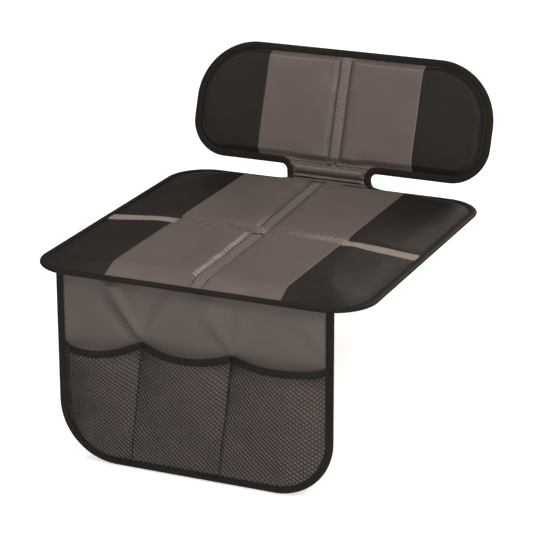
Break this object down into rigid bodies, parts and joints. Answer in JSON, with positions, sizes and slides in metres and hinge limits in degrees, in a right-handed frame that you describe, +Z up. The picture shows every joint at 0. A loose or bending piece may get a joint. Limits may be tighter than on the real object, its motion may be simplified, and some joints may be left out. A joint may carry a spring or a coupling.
{
  "type": "car seat protector mat",
  "caption": "Padded vehicle seat protector with a folded-up back pad on a short neck, sewn cross channels, bound edges and a hanging front flap with mesh pockets.",
  "frame": {"origin": "middle of the flat underside of the seat pad", "axes": "+Z up off the seat cushion, +Y from the front flap towards the back pad, +X to the right seen from the front"},
  "size_m": [0.474, 0.5705, 0.4493],
  "materials": {
    "grey_cover": "grained grey leatherette, satin",
    "black_cover": "fine embossed black textile, low sheen",
    "strip": "light grey sewn tape, puckered",
    "binding": "black woven binding tape",
    "underside": "plain black backing cloth",
    "foam": "off-white padding",
    "net": "black mesh netting",
    "flap": "smooth grey cloth"
  },
  "bodies": {
    "root": {"seat_underside": "underside", "seat_foam": "foam", "seat_grey_panel_front_left": "grey_cover", "seat_grey_panel_front_right": "grey_cover", "seat_grey_panel_rear_left": "grey_cover", "seat_grey_panel_rear_right": "grey_cover", "seat_black_panel_front_left": "black_cover", "seat_black_panel_front_right": "black_cover", "seat_black_panel_rear_left": "black_cover", "seat_black_panel_rear_right": "black_cover", "seat_centre_strip_front": "grey_cover", "seat_centre_strip_rear": "grey_cover", "seat_cross_strip": "strip", "neck_backing": "underside", "neck_panel": "grey_cover", "back_rear_cover": "underside", "back_foam": "foam", "back_grey_panel_left": "grey_cover", "back_grey_panel_right": "grey_cover", "back_black_panel_left": "black_cover", "back_black_panel_right": "black_cover", "back_centre_strip": "grey_cover", "edge_binding": "binding", "flap_panel": "flap", "flap_binding": "binding", "pocket_net": "net", "pocket_top_band": "binding"}
  },
  "joints": []
}
